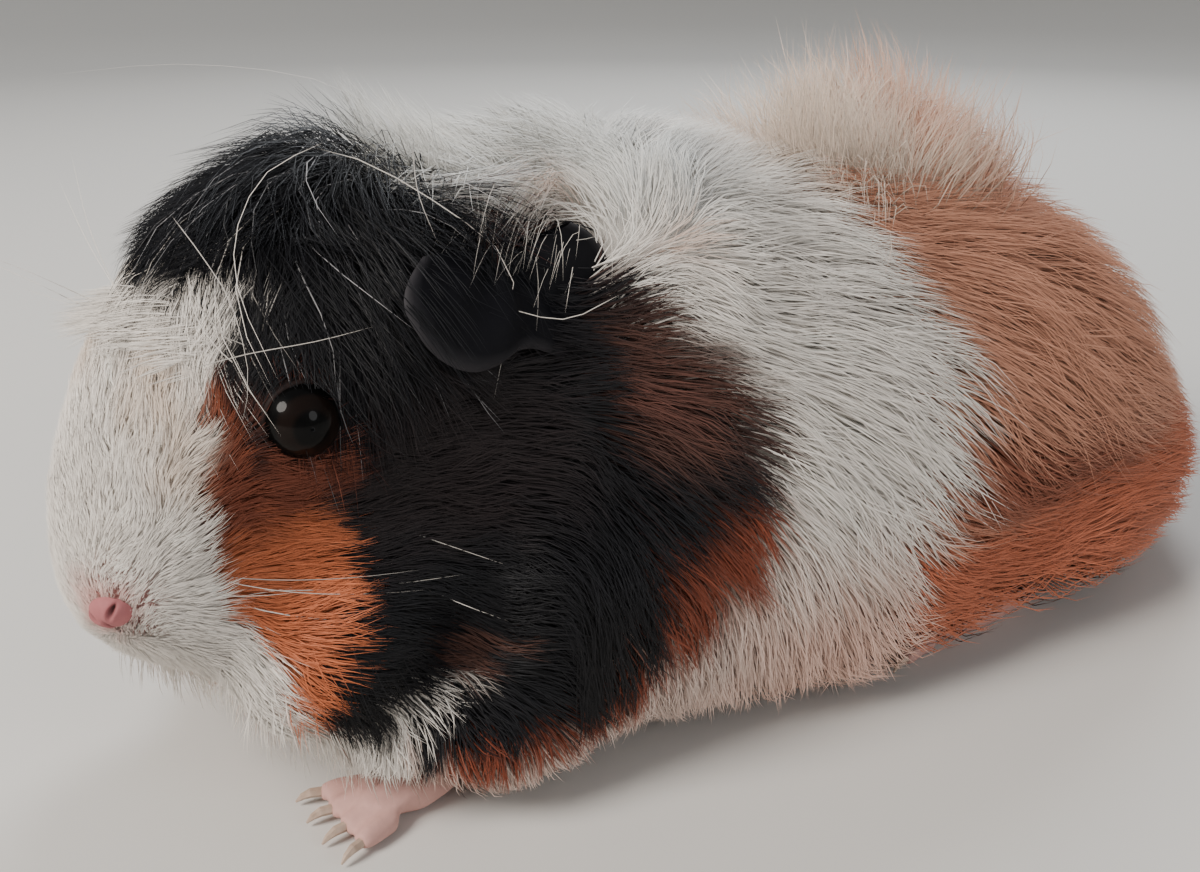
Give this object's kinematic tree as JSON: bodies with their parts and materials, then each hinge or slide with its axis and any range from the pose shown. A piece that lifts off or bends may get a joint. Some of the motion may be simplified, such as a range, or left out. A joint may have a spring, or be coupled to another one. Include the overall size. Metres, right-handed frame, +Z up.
{
  "type": "guinea pig",
  "caption": "Life-size long-haired guinea pig in white, ginger and black, crouching on its four feet with its head low and turned a little to its left.",
  "frame": {"origin": "floor level, below the middle of the animal's box", "axes": "-Y the way the animal faces, +X its left side, +Z up"},
  "size_m": [0.1162, 0.2322, 0.0999],
  "materials": {
    "black_coat": "long glossy black hair",
    "white_coat": "soft white to cream hair",
    "brown_coat": "dark brown hair",
    "orange_coat": "long ginger hair",
    "cream_coat": "pale ginger hair",
    "ear_skin": "thin dark skin with fine down",
    "eye": "wet black",
    "pink_skin": "soft bare pink skin",
    "claw_horn": "smooth horn"
  },
  "bodies": {
    "root": {"forelock": "black_coat", "head": "black_coat", "trunk": "white_coat", "leg_front_left": "white_coat", "leg_front_right": "white_coat", "neck": "brown_coat", "rump": "orange_coat", "leg_hind_left": "orange_coat", "leg_hind_right": "orange_coat", "hip_tuft": "cream_coat", "ear_left": "ear_skin", "ear_right": "ear_skin", "eye_left": "eye", "eye_right": "eye", "nose": "pink_skin", "paw_front_left": "pink_skin", "paw_front_right": "pink_skin", "paw_hind_left": "pink_skin", "paw_hind_right": "pink_skin", "claw_front_left_1": "claw_horn", "claw_front_left_2": "claw_horn", "claw_front_left_3": "claw_horn", "claw_front_left_4": "claw_horn", "claw_front_right_1": "claw_horn", "claw_front_right_2": "claw_horn", "claw_front_right_3": "claw_horn", "claw_front_right_4": "claw_horn", "claw_hind_left_1": "claw_horn", "claw_hind_left_2": "claw_horn", "claw_hind_left_3": "claw_horn", "claw_hind_right_1": "claw_horn", "claw_hind_right_2": "claw_horn", "claw_hind_right_3": "claw_horn"}
  },
  "joints": []
}
